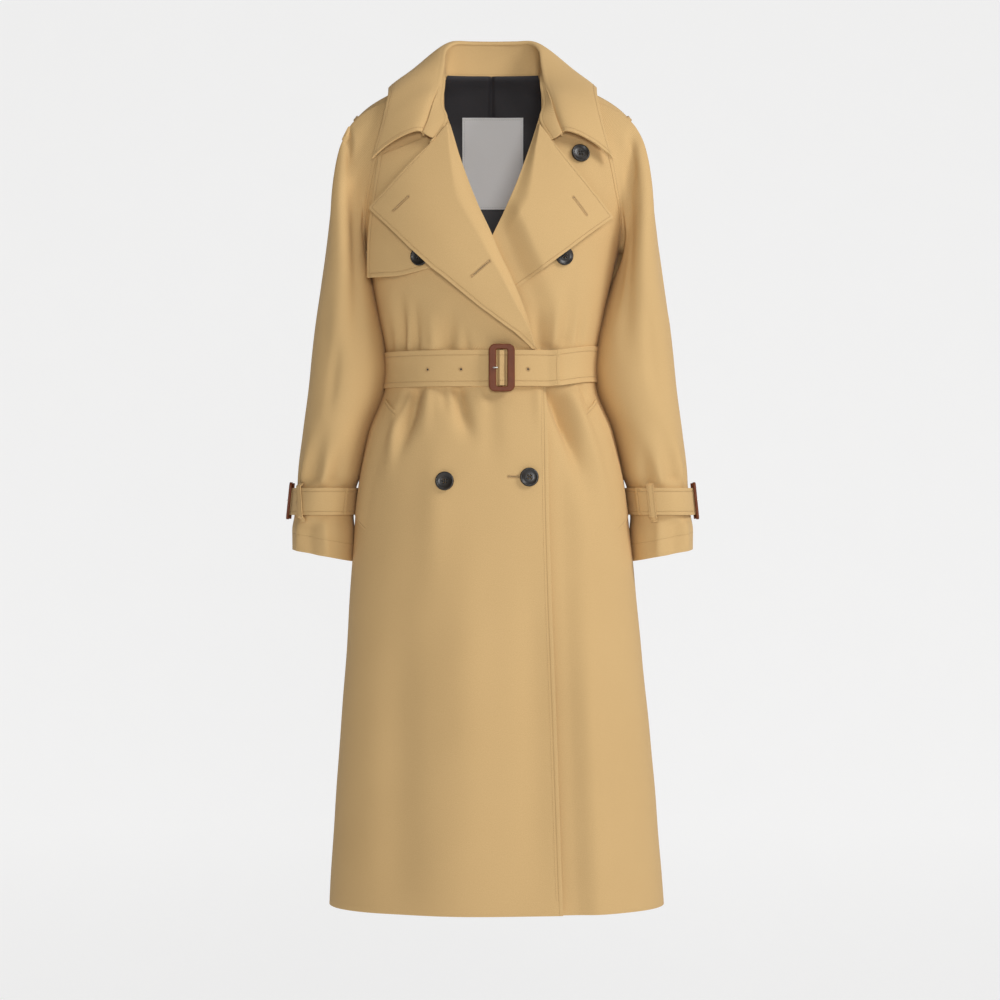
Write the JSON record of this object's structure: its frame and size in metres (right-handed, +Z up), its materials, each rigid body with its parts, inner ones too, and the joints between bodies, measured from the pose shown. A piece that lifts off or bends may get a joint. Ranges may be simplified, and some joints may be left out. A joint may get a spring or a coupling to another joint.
{
  "type": "belted trench coat",
  "caption": "Long double-breasted belted trench coat in tan cotton twill, open and hollow in its worn shape, with raglan sleeves, wide lapels, storm flap and buckled cuffs.",
  "frame": {"origin": "on the centre line between the shoulders at the level of the base of the neck, where the shoulders of a wearer hold the coat up", "axes": "+Z up along the coat, -Y towards the front with the buttons, +X towards the wearer's left"},
  "size_m": [0.5876, 0.2888, 1.2336],
  "materials": {
    "twill": "dense cotton twill, matt, with a fine diagonal rib",
    "lining": "plain woven dark lining, slightly smooth",
    "label": "plain white woven label, bare",
    "leather": "smooth brown leather over a stiff frame",
    "steel": "satin steel",
    "horn": "polished dark horn-like resin"
  },
  "bodies": {
    "root": {"front_right": "twill", "front_left": "twill", "back_right": "twill", "back_left": "twill", "sleeve_right": "twill", "sleeve_left": "twill", "collar_stand": "twill", "collar_fall": "twill", "lapel_right": "twill", "lapel_left": "twill", "storm_flap": "twill", "pocket_welt_right": "twill", "pocket_welt_left": "twill", "epaulette_right": "twill", "epaulette_left": "twill", "epaulette_loop_right": "twill", "epaulette_loop_left": "twill", "cuff_strap_right": "twill", "cuff_strap_left": "twill", "cuff_keeper_right": "twill", "cuff_keeper_left": "twill", "belt": "twill", "lining": "lining", "neck_label": "label", "belt_buckle": "leather", "cuff_buckle_right": "leather", "cuff_buckle_left": "leather", "belt_prong": "steel", "cuff_prong_right": "steel", "cuff_prong_left": "steel", "button_collar": "horn", "button_chest_right": "horn", "button_chest_left": "horn", "button_skirt_right": "horn", "button_skirt_left": "horn"}
  },
  "joints": []
}
